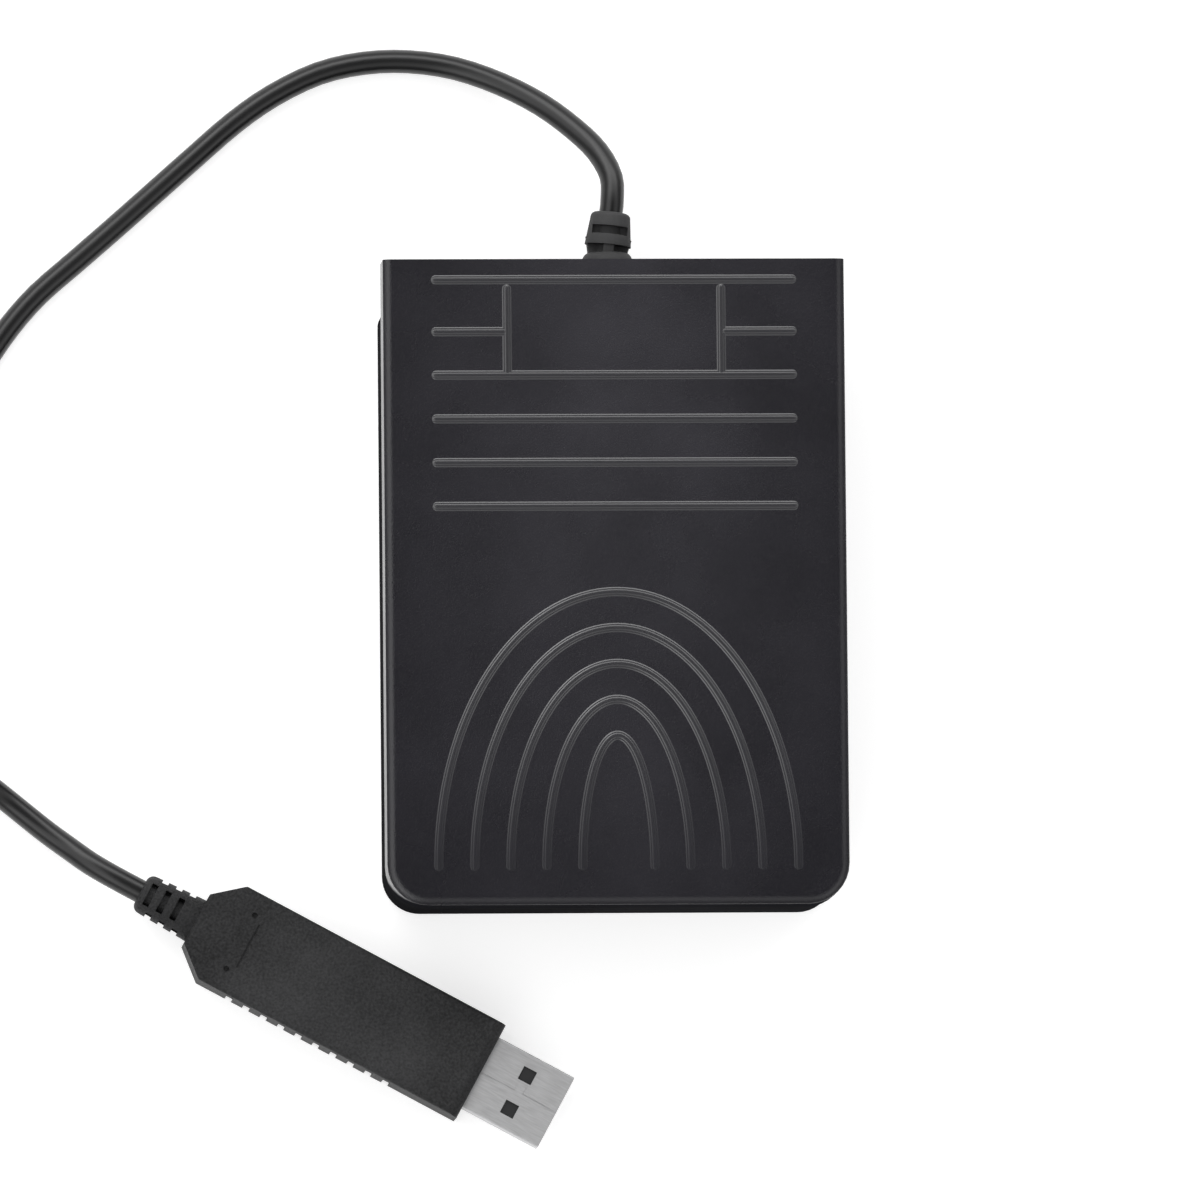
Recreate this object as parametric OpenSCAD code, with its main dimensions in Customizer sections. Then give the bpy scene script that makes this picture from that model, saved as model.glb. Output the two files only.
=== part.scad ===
// Single foot pedal switch with a cord and a plug.
// A tread is hinged over a low base. Its press turns the lever of a snap switch.
// The cord ends in a plug that holds the controller board.
// Millimetres. +Z is up, +Y points to the cord end, and the origin is on the floor
// under the middle of the pedal.

/* [Tread] */
// Width of the tread
pedal_w = 70; // [66:1:90]
// Length of the tread from the toe end to the hinge end
pedal_l = 98; // [94:1:130]
// Height of the tread above the floor
tread_z = 27.4; // [26.6:0.2:36]
// Thickness of the tread
tread_t = 2.4; // [1.8:0.1:3]
// Thickness of the skirt and of the hinge cheeks
skirt_t = 2; // [1.6:0.1:2.4]
// Plan radius of the two toe corners
toe_r = 6.2; // [5:0.2:9]
// Width of the rounded band along the edge of the tread
edge_w = 1.4; // [0.8:0.1:1.6]
// Slope of the band where it meets the skirt in degrees
edge_deg = 46; // [40:1:60]
// Depth of the skirt below the top of the tread
skirt_h = 7.4; // [6.4:0.2:8]

/* [Tread ribs] */
// Width of a rib
rib_w = 1.5; // [1:0.1:2.5]
// Height of a rib
rib_h = 0.6; // [0.3:0.1:1]
// Half of the span of the cross ribs, from the middle to the end of a rib
rib_reach = 27.8; // [20:0.2:29]
// Distance from the hinge end to the first cross rib
rib_start = 3; // [2.5:0.1:5]
// Pitch of the cross ribs below the bare window
rib_pitch = 6.65; // [5:0.05:7]
// Height of the bare window, between the ribs at its two ends
window_h = 14.5; // [10:0.5:15]
// Half of the width of the bare window
window_reach = 16.25; // [10:0.25:20]
// Distance from the bare window's lower rib to the short side ribs
side_rib_rise = 6.6; // [4:0.1:9]
// Distance from the toe end to the feet of the arches
arch_start = 5.2; // [4:0.1:8]
// Half of the width of the smallest arch
arch_reach = 5.45; // [4:0.05:6]
// Height of the smallest arch
arch_rise = 20.4; // [14:0.2:21]
// Step from one arch to the next
arch_step = 5.45; // [4:0.05:5.6]

/* [Hinge] */
// Full press of the tread in degrees
press_deg = 2.4; // [1.6:0.1:2.6]
// Diameter of the hinge pins
pin_d = 3; // [2:0.5:4]
// Length of a hinge pin
pin_l = 8; // [6:0.5:12]
// Distance from the hinge axis to the edge of the cheek
cheek_r = 4.5; // [4:0.1:5]
// Inset of the cheeks from the outline of the tread
cheek_inset = 1.1; // [0.8:0.1:1.4]
// Radial clearance of the cheeks on the pins
run_gap = 0.05; // [0.02:0.01:0.1]
// Gap kept between the tread and the base
move_gap = 0.8; // [0.6:0.1:1.2]

/* [Base] */
// Height of the flange below the hinge cheeks
flange_h = 8; // [6:0.5:9]
// Inset of the base from the outline of the tread
base_inset = 0.5; // [0.3:0.1:1.4]
// Thickness of the floor
floor_t = 2.2; // [1.8:0.1:3]
// Thickness of the inner walls
wall_t = 2; // [1.6:0.1:3]
// Distance from the hinge end of the tread to the flange's end
flange_back = 5.4; // [5:0.2:10]
// Plan radius of the flange's corners at the hinge end
flange_r = 2.3; // [1:0.1:4]
// Distance from the hinge end of the tread to the base's end wall
wall_back = 0.6; // [0.4:0.1:1.2]
// Diameter of a rubber foot
foot_d = 11; // [8:0.5:14]
// Thickness of a rubber foot
foot_t = 2; // [1.5:0.1:3]
// Depth of the pocket that holds a foot
foot_sink = 0.5; // [0.3:0.1:0.8]
// Distance of the feet from the sides and the toe end
foot_inset = 9.5; // [8:0.5:14]

/* [Spring and stops] */
// Outside diameter of the return spring
spring_d = 9; // [8:0.5:11]
// Diameter of the spring's wire
spring_wire = 0.9; // [0.7:0.1:1.2]
// Number of curls
spring_curls = 7; // [5:1:9]
// Distance from the hinge axis to the spring
spring_arm = 62; // [50:1:70]
// Diameter of a bumper
bumper_d = 6; // [5:0.5:8]
// Height of a bumper above its post
bumper_h = 5; // [3:0.5:7]
// Diameter of a bumper's stem
stem_d = 3; // [2:0.5:3.5]
// Length of a bumper's stem
stem_l = 3; // [2:0.5:4]
// Distance of the bumpers from the middle
bumper_x = 21; // [16:1:24]
// Distance from the toe end to the bumpers
bumper_inset = 13.5; // [11:0.5:24]

/* [Snap switch] */
// Length of the switch case
case_l = 19.8; // [19:0.1:24]
// Thickness of the switch case
case_w = 6.4; // [6:0.1:8]
// Height of the switch case
case_h = 9.5; // [9:0.1:10]
// Thickness of the case's walls and lid
case_t = 1; // [0.8:0.1:1.2]
// Length of the terminals below the case
terminal_l = 4.4; // [3.5:0.1:5]
// Gap between the terminals and the floor
terminal_gap = 1.4; // [1:0.1:2]
// Turn of the lever for each degree of the tread
lever_ratio = 2.5; // [2:0.1:2.6]
// Distance from the lever's pivot to where the tread presses it
lever_arm = 14; // [12:0.5:15]
// Distance from the lever's pivot to the plunger
plunger_arm = 5; // [4:0.2:5.4]
// Thickness of the lever
lever_t = 0.4; // [0.3:0.1:0.5]
// Width of the lever
lever_w = 3.2; // [2.6:0.1:3.4]
// Diameter of the switch's and the clamp's screws
screw_d = 2; // [1.8:0.1:2.2]
// Distance between the two holes of the case
hole_pitch = 9.5; // [9:0.1:10]

/* [Cord] */
// Diameter of the cord
cord_d = 3.6; // [3.6:0.1:3.8]
// Height of the cord where it leaves the base
exit_z = 12.5; // [12:0.1:13]
// Diameter of the strain relief's flange
relief_d = 7.9; // [7.4:0.1:8.4]
// Length of the strain relief outside the base
relief_l = 9.2; // [9:0.1:12]
// Lean of the strain relief to the right in degrees
relief_lean = 6; // [0:1:8]
// Turns of the coil in each layer
layer_turns = 3; // [2:1:4]
// Pitch of the coil's turns and layers
coil_pitch = 4.15; // [4.1:0.05:4.6]
// Mean radius of the coil
coil_r = 21.4; // [20:0.1:24]
// Width of the tie
tie_w = 5; // [4:0.5:12]
// Thickness of the tie
tie_t = 0.6; // [0.4:0.1:1]

/* [Plug] */
// Length of the plug body
plug_l = 49; // [46:0.5:60]
// Width of the plug body
plug_w = 16; // [15.4:0.2:18]
// Height of the plug body
plug_h = 9.5; // [9:0.1:11]
// Length of the boot
boot_l = 9.5; // [8:0.5:12]
// Diameter of the boot
boot_d = 7; // [6.4:0.1:7.6]
// Number of grip grooves on each side
groove_count = 10; // [6:1:11]
// Pitch of the grip grooves
groove_pitch = 3; // [2.4:0.1:3.2]
// Width of a grip groove
groove_w = 1.1; // [0.8:0.1:1.4]
// Width of the shell
shell_w = 12; // [11.9:0.1:12.1]
// Height of the shell
shell_h = 4.5; // [4.4:0.1:4.6]
// Thickness of the shell's sheet
shell_t = 0.3; // [0.25:0.05:0.35]
// Length of the shell in front of the body
shell_l = 13; // [11.75:0.25:15]
// Length of the controller board
board_l = 36; // [30:1:38]
// Thickness of the controller board
board_t = 1.2; // [1:0.1:1.6]

/* [Hidden] */
$fn = 48;
// Clearance between pieces that are fixed together
fit_gap = 0.05;
// Overlap of a cut past the face that it opens
cut = 1;
// Overlap of two cuts that open into each other
lap = 0.1;

// Places along the pedal
toe_y = -pedal_l / 2;
rear_y = pedal_l / 2;
half_w = pedal_w / 2;
under_z = tread_z - tread_t;
skirt_z = tread_z - skirt_h;
edge_r = edge_w / sin(edge_deg);

// Levels of the base
base_z = foot_t - foot_sink;
floor_z = base_z + floor_t;
flange_z = base_z + flange_h;

// Hinge axis, and what the tread does at full press
pin_y = rear_y - cheek_r;
hinge_z = flange_z + move_gap + cheek_r;
function pressed_under(arm) =
    hinge_z + (under_z - hinge_z) * cos(press_deg) - arm * sin(press_deg);

// Inner walls of the base
cheek_x = half_w - cheek_inset;
box_x = cheek_x - skirt_t - move_gap;
box_toe = toe_y + skirt_t + move_gap;
box_rear = rear_y - wall_back;
box_r = max(toe_r - skirt_t - move_gap, 0.6);
wall_z = pressed_under(pin_y - toe_y) - move_gap;
flange_end = rear_y - flange_back;
base_r = toe_r - base_inset;
notch_y = pin_y - cheek_r - move_gap;
stop_gap = 0.1;
lip_z = wall_z + stop_gap;
lip_t = 1.6;
boss_wall = 2;
boss_r = pin_d / 2 + boss_wall;
boss_l = pin_l - skirt_t - move_gap - wall_t;
pin_sink = 0.3;
pin_end = cheek_x - pin_sink;

// Return spring and stops
spring_y = pin_y - spring_arm;
spring_gap = 0.02;
spring_low = floor_z + spring_gap;
spring_high = under_z - spring_gap;
spring_seat_h = 2.5;
spring_bore = spring_d - 2 * spring_wire;
guide_d = spring_bore - 1.4;
top_guide_d = spring_bore - 2.6;
stop_space = 0.4;
bumper_y = toe_y + bumper_inset;
bumper_z = pressed_under(pin_y - bumper_y) - stop_space;
post_z = bumper_z - bumper_h;
post_d = bumper_d + boss_wall;
stem_space = 0.3;

// Snap switch
contact_y = pin_y - lever_ratio * lever_arm;
pivot_y = contact_y + lever_arm;
pivot_inset = 1.4;
case_rear = pivot_y + pivot_inset;
case_toe = case_rear - case_l;
case_low = floor_z + terminal_gap + terminal_l;
case_high = case_low + case_h;
pivot_rise = 0.7;
pivot_z = case_high + pivot_rise;
pivot_d = 0.8;
ear_t = 0.9;
ear_l = 2.2;
ear_wall = 0.4;
ear_h = pivot_rise + pivot_d / 2 + ear_wall;
lever_tilt = lever_ratio * press_deg;
lever_past = 1.5;
contact_gap = 0.25;
presser_r = 1.5;
presser_z = pivot_z + lever_arm * tan(lever_tilt) + lever_t / 2 + contact_gap;
plunger_y = pivot_y - plunger_arm;
plunger_x = 2.4;
plunger_l = 1.4;
plunger_gap = 0.2;
plunger_z = pivot_z + plunger_arm * tan(lever_tilt) - lever_t / 2 - plunger_gap;
plunger_foot = 0.6;
plunger_space = 0.1;
foot_space = 0.3;
plunger_low = case_high - case_t - foot_space - plunger_foot;
blade_t = 0.2;
blade_gap = 0.1;
blade_space = 0.6;
blade_z = plunger_low - plunger_arm * lever_tilt * PI / 180 - blade_gap;
hole_rise = 2.9;
hole_mid = (case_toe + case_rear) / 2;
hole_gap = 0.2;
hole_wall = 0.8;
terminal_t = 0.5;
terminal_w = 3;
terminal_in = 1.6;
common_back = 2.2;
closing_back = 10.6;
opening_inset = 2.4;
terminal_y = [case_rear - common_back, case_rear - closing_back, case_toe + opening_inset];
bracket_t = 3;
screw_head_d = 3.8;
screw_head_h = 1.3;
screw_cross_w = 0.6;
screw_short = 0.4;

// Cord tail and clamp inside the base
clamp_l = 5;
clamp_w = 17;
clamp_h = 3;
clamp_x = 5.6;
clamp_gap = 0.4;
relief_in = 2;
tail_start = box_rear - wall_t - relief_in;
tail_bare = 3;
tail_past = 1.6;
clamp_y = tail_start - tail_bare - clamp_l / 2;
tail_end = clamp_y - clamp_l / 2 - tail_past;
screw_l = 8;
lead_d = 1.2;
wire_x = 0.9;
wire_lead = 1.5;
wire_gap = 0.25;
wire_side = (terminal_w + lead_d) / 2 + wire_gap;

// Strain relief: a domed foot, a slot with a rib over it, and a tapered body with a window.
// A web at mid height closes the slot and the window
relief_neck_d = 6;
relief_core_d = 3.8;
relief_web_t = 2;
relief_foot_l = 3;
relief_rim_l = 1.2;
relief_waist_d = 5.6;
relief_slot_l = 1.1;
relief_mid_d = 7.1;
relief_tip_d = 6.1;
relief_round = 0.8;
relief_rib_w = 1.6;
relief_window_start = 2.7;
relief_window_l = 1.3;
relief_window_w = 5.4;
relief_past = relief_l - relief_foot_l;
relief_tip = [
    relief_past * sin(relief_lean),
    box_rear + relief_foot_l + relief_past * cos(relief_lean),
    exit_z
];

// Cord
cord_r = cord_d / 2;
lie_z = cord_r;
tie_gap = 0.1;
coil_z = tie_t + tie_gap + cord_r;
coil_x = -136;
coil_y = -5;

// Coil: spirals in and out in four layers, and climbs in the half turn where it reverses
coil_layers = 4;
coil_out = coil_r + layer_turns * coil_pitch / 2;
coil_top = coil_z + (coil_layers - 1) * coil_pitch;
coil_rings = 24;
coil_turns = coil_layers * layer_turns;
function fold(u) = let (m = u % (2 * layer_turns)) m < layer_turns ? m : 2 * layer_turns - m;
function layer(u) = [
    for (n = [1 : coil_layers - 1]) max(0, min(1, 0.5 + 2 * (u - n * layer_turns)))
] * [for (n = [1 : coil_layers - 1]) 1];
function coil_point(u) = let (r = coil_out - coil_pitch * fold(u), a = -360 * u)
    [coil_x + r * cos(a), coil_y + r * sin(a), coil_z + coil_pitch * layer(u)];
coil_route = concat(
    [[coil_x + coil_out, coil_y + cord_d, coil_z]],
    [for (i = [0 : coil_rings * coil_turns]) coil_point(i / coil_rings)],
    [[coil_x + coil_out, coil_y - cord_d, coil_top]]
);
coil_gap = min([
    for (i = [0 : len(coil_route) - 1])
        for (j = [i + coil_rings / 2 : len(coil_route) - 1])
            norm(coil_route[i] - coil_route[j])
]) - cord_d;
echo(coil_gap_mm = coil_gap);

// Plug: it lies on the floor, with its own length from the boot's end to the mouth
plug_at = [-71.4, -45.1, 0];
plug_turn = -28.5;
plug_mid = plug_h / 2;
function plug_place(x) = plug_at + [x * cos(plug_turn), x * sin(plug_turn), plug_mid];

// Cord route from the strain relief to the coil, and from the coil to the plug
near_route = [
    relief_tip,
    relief_tip + 2 * [sin(relief_lean), cos(relief_lean), 0],
    [0.8, 63.2, 11.6],
    [-1.1, 67.2, 9.8],
    [-4.5, 70.9, 8],
    [-9.4, 74.9, 5.8],
    [-15.4, 78.3, 3.8],
    [-22.3, 80.9, 2.4],
    [-29.3, 82, 1.9],
    [-36.3, 81.8, lie_z],
    [-43.3, 80.2, lie_z],
    [-50.3, 76.8, lie_z],
    [-56.3, 72.6, lie_z],
    [-62.3, 67.4, lie_z],
    [-68.3, 62.1, lie_z],
    [-74.3, 56.8, lie_z],
    [-80.3, 51.6, lie_z],
    [-86.3, 46.4, lie_z],
    [-90.8, 41.3, lie_z],
    [-95, 35.2, lie_z],
    [-99.4, 28, lie_z],
    [-103, 20, 1.9],
    [-105.8, 12, 2.1],
    [-107.6, 4, 2.3],
    [coil_x + coil_out, coil_y + 2.5 * cord_d, coil_z],
    [coil_x + coil_out, coil_y + cord_d, coil_z]
];
far_route = [
    [coil_x + coil_out, coil_y - cord_d, coil_top],
    [coil_x + coil_out, coil_y - 2.5 * cord_d, coil_top],
    [-106.3, -19.3, 12.2],
    [-103, -22.9, 9],
    [-99.2, -25.6, 6],
    [-95.4, -28, 3.4],
    [-91.8, -30.7, 2],
    [-88.6, -33.3, lie_z],
    [-85.4, -35.9, 2.1],
    [-82.1, -38.4, 2.9],
    [-78.9, -40.8, 4.1],
    plug_place(-1.25 * cord_d),
    plug_place(0)
];
function route_length(p) =
    [for (i = [1 : len(p) - 1]) norm(p[i] - p[i - 1])] * [for (i = [1 : len(p) - 1]) 1];
echo(cord_length_mm = route_length(near_route) + route_length(coil_route) + route_length(far_route));

// Plug pieces along the plug's own length
body_end = boot_l + plug_l;
mouth = body_end + shell_l;
body_taper = 4.5;
body_rear_w = 8.4;
boot_neck_d = 5.6;
boot_neck_l = 3.4;
boot_tip_d = boot_d - 0.8;
boot_round = 1.2;
boot_slots = 3;
boot_slot_l = 1;
boot_slot_start = 1.1;
boot_slot_pitch = 2.3;
boot_window_w = 3.6;
boot_core_d = 4.4;
front_cut = 1.2;
dimple_d = 0.9;
dimple_deep = 0.5;
dimple_start = boot_l + 7.5;
dimple_v = 4.6;
line_w = 0.3;
line_deep = 0.2;
line_start = dimple_start + 1.3;
groove_deep = 0.5;
groove_start = boot_l + 10;
groove_top = 1.1;
body_wall = 1.5;
shell_in = 5.5;
shell_low = plug_mid - shell_h / 2;
tongue_t = 1.8;
tongue_low = shell_low + shell_h - shell_t - fit_gap - tongue_t;
block_past = 1.5;
block_l = shell_in + block_past;
tongue_back = 0.4;
contact_t = 0.2;
contact_w = 1;
contact_v = [-3.5, -1, 1, 3.5];
contact_tail = 3.5;
contact_back = 1.2;
board_gap = 0.2;
board_front = body_end - shell_in - board_gap;
board_top = tongue_low - contact_t;
board_w = plug_w - 2 * body_wall - 2 * board_gap;
board_edge = 0.8;
neck_space = 1;
cavity_rear = boot_l + boot_neck_l + neck_space;
lead_v = 1.4;
lead_over = 3;
square_hole = 2.2;
square_hole_v = 2.9;
square_hole_back = 6.5;
seam_w = 0.15;
seam_deep = 0.12;
seam_lock = 1.6;

// Colours
black_plastic = [0.16, 0.16, 0.18];
dark_plastic = [0.2, 0.2, 0.22];
cord_black = [0.22, 0.22, 0.23];
rubber_black = [0.1, 0.1, 0.1];
steel = [0.75, 0.76, 0.78];

// Tubes along a route
function unit(v) = v / norm(v);
function tangent(p, i) = unit(p[min(i + 1, len(p) - 1)] - p[max(i - 1, 0)]);
function ring(c, t, r, sides) = let (side = unit(cross([0, 0, 1], t)), up = cross(t, side))
    [for (k = [0 : sides - 1]) c + r * (cos(360 * k / sides) * side + sin(360 * k / sides) * up)];
function tube_points(p, r, sides) =
    [for (i = [0 : len(p) - 1]) each ring(p[i], tangent(p, i), r, sides)];
function wall_faces(n, s) = [
    for (i = [0 : n - 2])
        for (k = [0 : s - 1])
            each let (a = i * s + k, b = i * s + (k + 1) % s) [[a, b + s, b], [a, a + s, b + s]]
];
function end_faces(n, s) = concat(
    [for (k = [1 : s - 2]) [0, k, k + 1]],
    [for (k = [1 : s - 2]) [(n - 1) * s, (n - 1) * s + k + 1, (n - 1) * s + k]]
);
module tube(route, r, sides) {
    polyhedron(
        tube_points(route, r, sides),
        concat(wall_faces(len(route), sides), end_faces(len(route), sides))
    );
}

// Plan with the toe corners rounded and the hinge corners rounded by another radius
module plan(half, toe, rear, r_toe, r_rear) {
    translate([-half, toe + r_toe]) square([2 * half, rear - toe - r_toe - r_rear]);
    translate([-half + r_toe, toe]) square([2 * (half - r_toe), r_toe]);
    for (s = [-1, 1]) translate([s * (half - r_toe), toe + r_toe]) circle(r_toe);
    if (r_rear > 0) {
        translate([-half + r_rear, rear - r_rear]) square([2 * (half - r_rear), r_rear]);
        for (s = [-1, 1]) translate([s * (half - r_rear), rear - r_rear]) circle(r_rear);
    }
}

// Cylinder along X, centred on x
module across(d, l) {
    rotate([0, 90, 0]) cylinder(d = d, h = l, center = true);
}

// Toe corner of the tread with its rounded edge
module tread_corner() {
    steps = 8;
    rotate_extrude($fn = 32)
        polygon(concat(
            [[0, 0], [toe_r, 0]],
            [
                for (i = [steps : -1 : 0])
                    let (a = edge_deg * i / steps)
                        [toe_r - edge_w + edge_r * sin(a), tread_z - edge_r * (1 - cos(a))]
            ],
            [[0, tread_z]]
        ));
}

module tread_skin() {
    intersection() {
        hull()
            for (s = [-1, 1])
                for (y = [toe_y + toe_r, rear_y + toe_r])
                    translate([s * (half_w - toe_r), y, 0]) tread_corner();
        translate([-half_w, toe_y, 0]) cube([pedal_w, pedal_l, tread_z]);
    }
}

// Rib with round ends from one place to another
module straight_rib(from, to) {
    along = to - from;
    translate([from[0], from[1], tread_z - rib_h])
        rotate([0, 0, atan2(along[1], along[0])])
            linear_extrude(2 * rib_h) {
                translate([0, -rib_w / 2]) square([norm(along), rib_w]);
                circle(d = rib_w);
                translate([norm(along), 0]) circle(d = rib_w);
            }
}

// Half ellipse with round feet
function on_ellipse(a, b, turn) = [a * cos(turn), b * sin(turn)];
module arch_rib(a, b) {
    steps = 36;
    edge = rib_w / 2;
    translate([0, toe_y + arch_start, tread_z - rib_h])
        linear_extrude(2 * rib_h) {
            polygon(concat(
                [for (i = [0 : steps]) on_ellipse(a + edge, b + edge, 180 * i / steps)],
                [for (i = [steps : -1 : 0]) on_ellipse(a - edge, b - edge, 180 * i / steps)]
            ));
            for (s = [-1, 1]) translate([s * a, 0]) circle(d = rib_w);
        }
}

module tread_ribs() {
    top = rear_y - rib_start;
    low = top - window_h;
    reach = rib_reach - rib_w / 2;
    for (y = [top, low, low - rib_pitch, low - 2 * rib_pitch, low - 3 * rib_pitch])
        straight_rib([-reach, y], [reach, y]);
    for (s = [-1, 1]) {
        straight_rib([s * window_reach, low], [s * window_reach, top]);
        straight_rib([s * window_reach, low + side_rib_rise], [s * reach, low + side_rib_rise]);
    }
    for (i = [0 : 4])
        arch_rib(arch_reach + i * arch_step, arch_rise + i * arch_step);
}

// What the tread's underside carries: the presser of the lever and the spring's guide
module tread_underside() {
    translate([0, contact_y, presser_z + presser_r]) across(2 * presser_r, lever_w);
    translate([-lever_w / 2, contact_y - presser_r, presser_z + presser_r])
        cube([lever_w, 2 * presser_r, tread_z - tread_t / 2 - presser_z - presser_r]);
    translate([0, spring_y, under_z - spring_seat_h])
        cylinder(d = top_guide_d, h = spring_seat_h + tread_t / 2);
}

// Plates that hang from the tread to the hinge, with a round end about the pins
module hinge_cheeks() {
    for (s = [-1, 1])
        translate([s * (cheek_x - skirt_t / 2), pin_y, hinge_z]) {
            across(2 * cheek_r, skirt_t);
            translate([-skirt_t / 2, -cheek_r, 0])
                cube([skirt_t, 2 * cheek_r, tread_z - tread_t / 2 - hinge_z]);
        }
}

module pedal_cover() {
    color(black_plastic) {
        difference() {
            union() {
                difference() {
                    tread_skin();
                    translate([0, 0, -cut])
                        linear_extrude(under_z + cut)
                            plan(half_w - skirt_t, toe_y + skirt_t, rear_y - lip_t, toe_r - skirt_t, 0);
                    translate([-half_w + skirt_t, rear_y - lip_t - cut, -cut])
                        cube([pedal_w - 2 * skirt_t, lip_t + 2 * cut, lip_z + cut]);
                    translate([-half_w - cut, toe_y - cut, -cut])
                        cube([pedal_w + 2 * cut, pedal_l + 2 * cut, skirt_z + cut]);
                }
                hinge_cheeks();
            }
            translate([0, pin_y, hinge_z]) across(pin_d + 2 * run_gap, pedal_w + 2 * cut);
        }
        tread_ribs();
        tread_underside();
    }
}

// Bosses and posts that stand on the base's floor
module base_posts() {
    for (s = [-1, 1]) {
        translate([s * (box_x - wall_t / 2 - boss_l / 2), pin_y, hinge_z])
            across(2 * boss_r, boss_l + wall_t);
        translate([s * bumper_x, bumper_y, floor_z - floor_t / 2])
            cylinder(d = post_d, h = post_z - floor_z + floor_t / 2);
    }
    translate([0, spring_y, floor_z - floor_t / 2])
        cylinder(d = guide_d, h = spring_seat_h + floor_t / 2);
    translate([-clamp_w / 2, clamp_y - clamp_l / 2, floor_z - floor_t / 2])
        cube([clamp_w, clamp_l, exit_z - clamp_gap / 2 - floor_z + floor_t / 2]);
    translate([case_w / 2 + fit_gap, case_toe, floor_z - floor_t / 2])
        cube([bracket_t, case_l, case_high - 2 * case_t - floor_z + floor_t / 2]);
}

// Outside of the base: low below the hinge cheeks, and else as high as the pressed skirt allows
module base_flange() {
    side = half_w - base_inset;
    front = toe_y + base_inset;
    translate([0, 0, base_z]) linear_extrude(flange_h) plan(side, front, flange_end, base_r, flange_r);
    difference() {
        translate([0, 0, base_z]) linear_extrude(skirt_z - base_z) plan(side, front, notch_y, base_r, 0);
        translate([0, pin_y, hinge_z])
            rotate([press_deg, 0, 0])
                translate([-pedal_w, -2 * pedal_l, skirt_z - hinge_z - move_gap])
                    cube([2 * pedal_w, 4 * pedal_l, tread_z]);
    }
}

module base_tray() {
    color(dark_plastic)
        difference() {
            union() {
                difference() {
                    union() {
                        base_flange();
                        translate([0, 0, base_z])
                            linear_extrude(wall_z - base_z) plan(box_x, box_toe, box_rear, box_r, 0);
                    }
                    translate([0, 0, floor_z])
                        linear_extrude(tread_z)
                            plan(box_x - wall_t, box_toe + wall_t, box_rear - wall_t, box_r, 0);
                }
                base_posts();
            }
            for (s = [-1, 1]) {
                translate([s * (pin_end - pin_l / 2), pin_y, hinge_z]) across(pin_d, pin_l);
                translate([s * bumper_x, bumper_y, post_z - stem_l - stem_space])
                    cylinder(d = stem_d + 2 * fit_gap, h = tread_z);
                translate([s * clamp_x, clamp_y, floor_z]) cylinder(d = screw_d + 2 * fit_gap, h = tread_z);
                translate([0, hole_mid + s * hole_pitch / 2, case_low + hole_rise])
                    translate([case_w / 2 + bracket_t / 2, 0, 0])
                        across(screw_d + 2 * fit_gap, 2 * bracket_t);
            }
            foot_places()
                translate([0, 0, base_z - cut]) cylinder(d = foot_d + 2 * fit_gap, h = cut + foot_sink);
            translate([0, box_rear - wall_t / 2, exit_z])
                rotate([90, 0, 0]) cylinder(d = relief_neck_d + 2 * fit_gap, h = 2 * wall_t, center = true);
            translate([-relief_neck_d / 2 - fit_gap, box_rear - 1.5 * wall_t, exit_z])
                cube([relief_neck_d + 2 * fit_gap, 2 * wall_t, tread_z]);
            translate([0, clamp_y, exit_z])
                rotate([90, 0, 0]) cylinder(d = cord_d + 2 * fit_gap, h = 2 * clamp_l, center = true);
        }
}

module foot_places() {
    for (s = [-1, 1])
        for (y = [toe_y + foot_inset, flange_end - foot_inset])
            translate([s * (half_w - foot_inset), y, 0]) children();
}

module hinge_pins() {
    color(steel)
        for (s = [-1, 1])
            translate([s * (pin_end - pin_l / 2), pin_y, hinge_z]) across(pin_d, pin_l);
}

module return_spring() {
    r = (spring_d - spring_wire) / 2;
    low = spring_low + spring_wire / 2;
    high = spring_high - spring_wire / 2;
    steps = 8 * spring_curls;
    route = [
        for (i = [0 : steps])
            [r * cos(45 * i), spring_y + r * sin(45 * i), low + (high - low) * i / steps]
    ];
    color(steel) tube(route, spring_wire / 2, 6);
}

module rubber_feet() {
    color(rubber_black) foot_places() cylinder(d = foot_d, h = foot_t);
}

module stop_bumpers() {
    color(rubber_black)
        for (s = [-1, 1])
            translate([s * bumper_x, bumper_y, post_z]) {
                cylinder(d = bumper_d, h = bumper_h);
                translate([0, 0, -stem_l]) cylinder(d = stem_d, h = stem_l + bumper_h / 2);
            }
}

// The two holes through the switch, across its thickness
module case_holes(d) {
    for (s = [-1, 1])
        translate([0, hole_mid + s * hole_pitch / 2, case_low + hole_rise]) across(d, 4 * case_w);
}

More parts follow.
